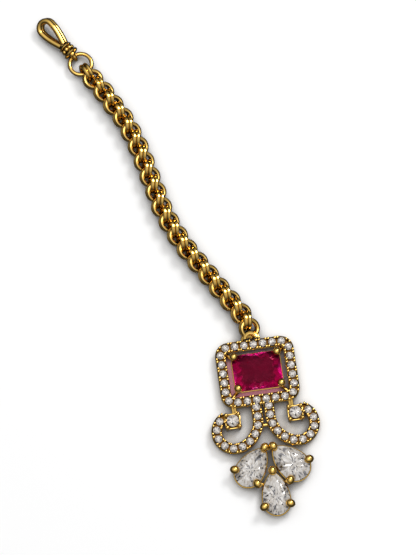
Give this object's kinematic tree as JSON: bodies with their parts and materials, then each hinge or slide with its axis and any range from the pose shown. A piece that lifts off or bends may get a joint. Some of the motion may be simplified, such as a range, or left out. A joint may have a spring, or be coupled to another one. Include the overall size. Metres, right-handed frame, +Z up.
{
  "type": "maang tikka",
  "caption": "Hair jewel: a teardrop hair loop, a jump ring and a double belcher chain carry a stone-set pendant with a red cut-corner stone, two scrolls and clear pear drops.",
  "frame": {"origin": "middle of the whole piece's box, on the surface it lies on", "axes": "+Y from the pendant towards the hair loop, +X to the pendant's right as seen from above, +Z up from the surface"},
  "size_m": [0.0642, 0.1158, 0.0046],
  "materials": {
    "polished_gold": "polished yellow gold",
    "ruby_red": "polished facets",
    "clear_stone": "polished facets"
  },
  "bodies": {
    "root": {"clip": "polished_gold", "jump_ring": "polished_gold", "chain": "polished_gold", "pendant_frame": "polished_gold", "ruby": "ruby_red", "side_stone_left": "clear_stone", "side_stone_right": "clear_stone", "pear_left": "clear_stone", "pear_right": "clear_stone", "pear_bottom": "clear_stone"}
  },
  "joints": []
}
